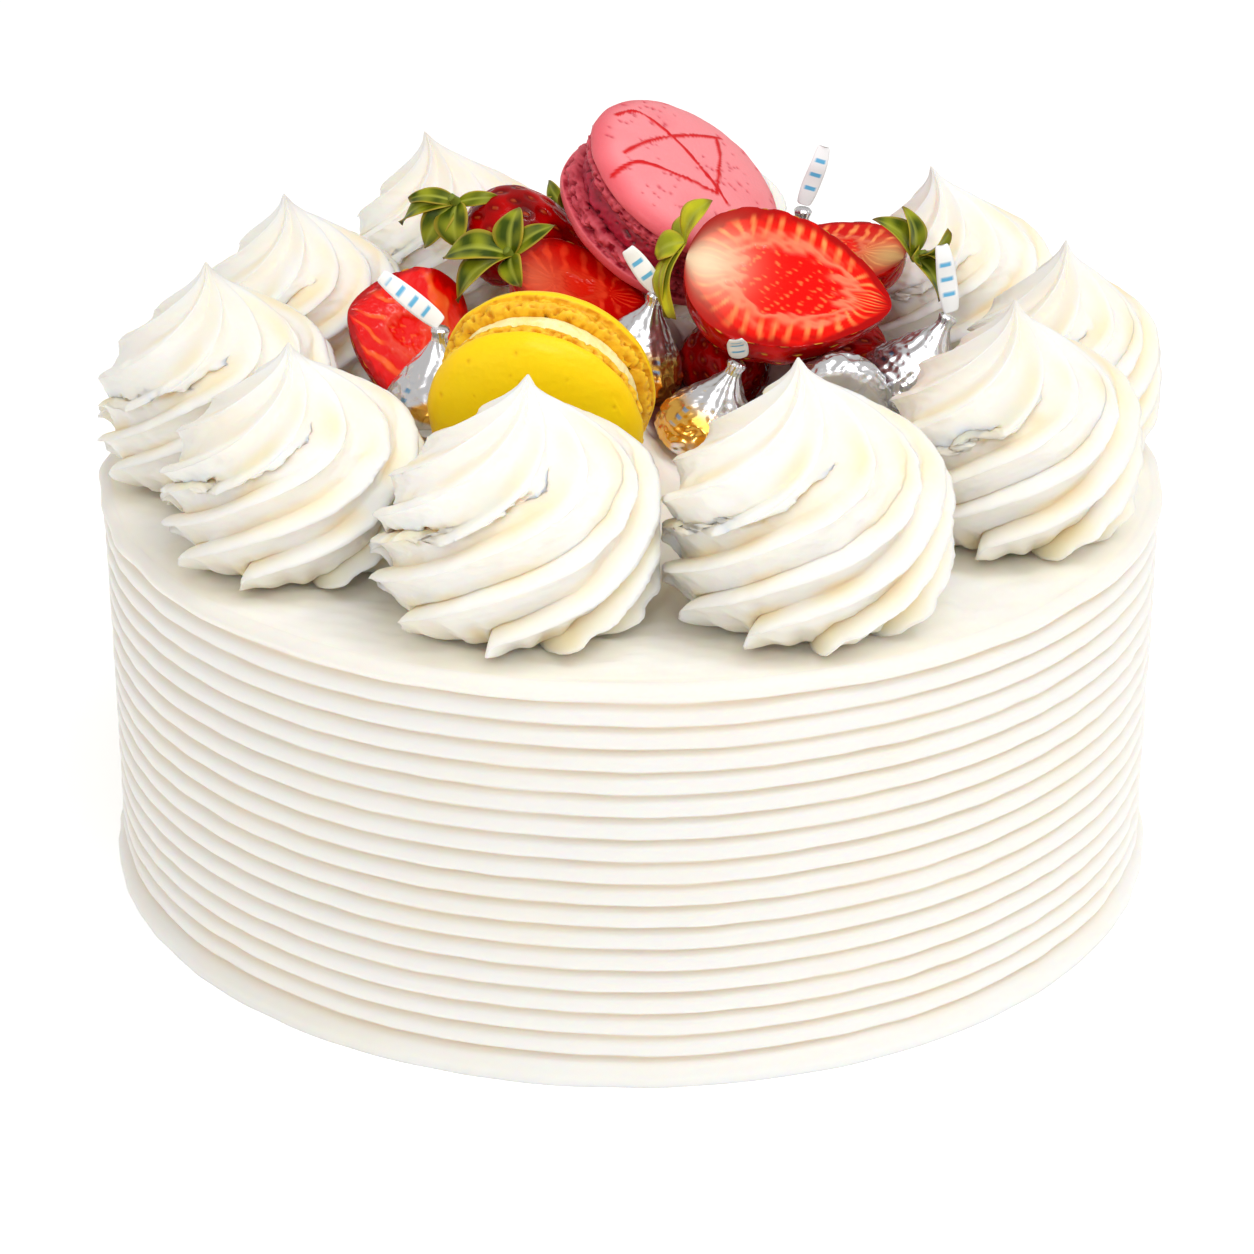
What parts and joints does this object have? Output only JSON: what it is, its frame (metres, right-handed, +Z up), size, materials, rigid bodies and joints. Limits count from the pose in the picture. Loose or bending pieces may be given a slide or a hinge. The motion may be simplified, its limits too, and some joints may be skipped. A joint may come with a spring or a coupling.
{
  "type": "vanilla cake",
  "caption": "Round frosted layer cake with a combed side, a ring of piped swirls and a heap of strawberries, macarons and foil-wrapped drops on top.",
  "frame": {"origin": "middle of the cake's underside", "axes": "+Z up; -Y towards the side that the picture shows, +X to its right"},
  "size_m": [0.2312, 0.2312, 0.1513],
  "materials": {
    "frosting": "soft whipped frosting",
    "yellow_shell": "smooth baked shell",
    "cream_filling": "soft cream",
    "pink_shell": "smooth baked shell",
    "dark_filling": "fruit paste",
    "red_fruit": "wet glossy skin and cut flesh",
    "leaf_green": "leaf",
    "foil": "crinkled bright foil",
    "paper": "thin white paper"
  },
  "bodies": {
    "root": {"cake_body": "frosting", "macaron_yellow_shell_upper": "yellow_shell", "macaron_yellow_shell_lower": "yellow_shell", "macaron_yellow_filling": "cream_filling", "macaron_pink_shell_upper": "pink_shell", "macaron_pink_shell_lower": "pink_shell", "macaron_pink_filling": "dark_filling", "swirl_a": "frosting", "swirl_b": "frosting", "swirl_c": "frosting", "swirl_d": "frosting", "swirl_e": "frosting", "swirl_f": "frosting", "swirl_g": "frosting", "swirl_h": "frosting", "swirl_i": "frosting", "swirl_j": "frosting", "berry_right_half": "red_fruit", "berry_back_half": "red_fruit", "berry_middle_half": "red_fruit", "berry_whole": "red_fruit", "berry_left_half": "red_fruit", "berry_rear": "red_fruit", "berry_low_front": "red_fruit", "berry_low_right": "red_fruit", "calyx_right_half": "leaf_green", "calyx_back_half": "leaf_green", "calyx_middle_half": "leaf_green", "calyx_whole": "leaf_green", "calyx_rear": "leaf_green", "drop_left": "foil", "drop_middle": "foil", "drop_front": "foil", "drop_side": "foil", "drop_right": "foil", "drop_back": "foil", "flag_left": "paper", "flag_middle": "paper", "flag_front": "paper", "flag_right": "paper", "flag_back": "paper"}
  },
  "joints": []
}
